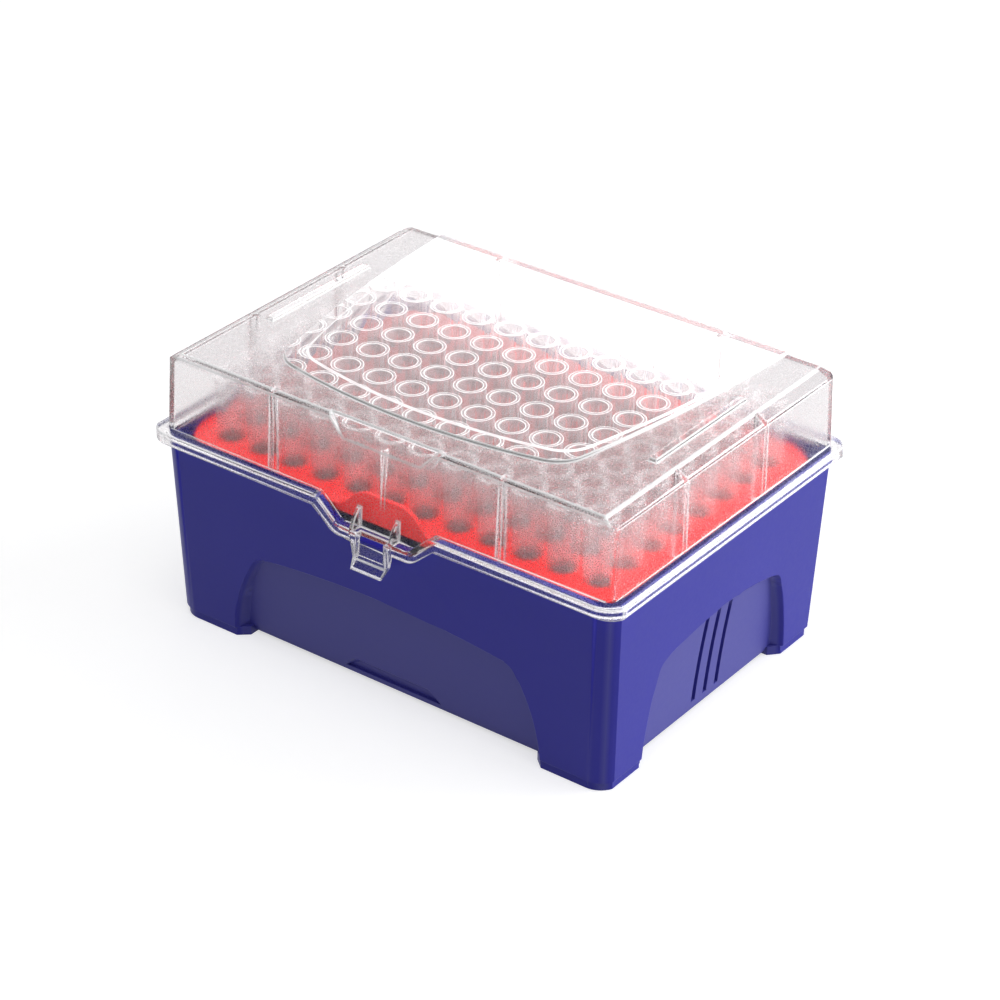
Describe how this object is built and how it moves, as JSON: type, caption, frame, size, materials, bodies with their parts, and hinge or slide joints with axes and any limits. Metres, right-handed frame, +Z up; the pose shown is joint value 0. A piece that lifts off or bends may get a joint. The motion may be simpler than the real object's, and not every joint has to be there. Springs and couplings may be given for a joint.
{
  "type": "pipette tip box",
  "caption": "Box of pipette tips: drafted base on corner feet, perforated deck holding a grid of tips, and a clear hinged lid with a front latch tab.",
  "frame": {"origin": "under the feet, at the middle of the case; the tip grid is centred 0.5 mm nearer the latch", "axes": "+X along the long side, -Y towards the latch, +Y towards the hinges, +Z up"},
  "size_m": [0.1254, 0.0954, 0.0679],
  "materials": {
    "base_plastic": "satin moulded blue plastic",
    "deck_plastic": "satin moulded red plastic",
    "lid_clear": "clear moulded plastic, frosted walls and a polished field on top",
    "tip_clear": "clear moulded plastic"
  },
  "bodies": {
    "base": {"base": "base_plastic", "tip_plate": "deck_plastic", "tips_column_01": "tip_clear", "tips_column_02": "tip_clear", "tips_column_03": "tip_clear", "tips_column_04": "tip_clear", "tips_column_05": "tip_clear", "tips_column_06": "tip_clear", "tips_column_07": "tip_clear", "tips_column_08": "tip_clear", "tips_column_09": "tip_clear", "tips_column_10": "tip_clear", "tips_column_11": "tip_clear", "tips_column_12": "tip_clear"},
    "lid": {"lid": "lid_clear"}
  },
  "joints": [
    {"name": "lid_hinge", "type": "hinge", "parent": "base", "child": "lid", "pos_m": [0, 0.0458, 0.0434], "axis": [-1, 0, 0], "range_deg": [0, 110]}
  ]
}
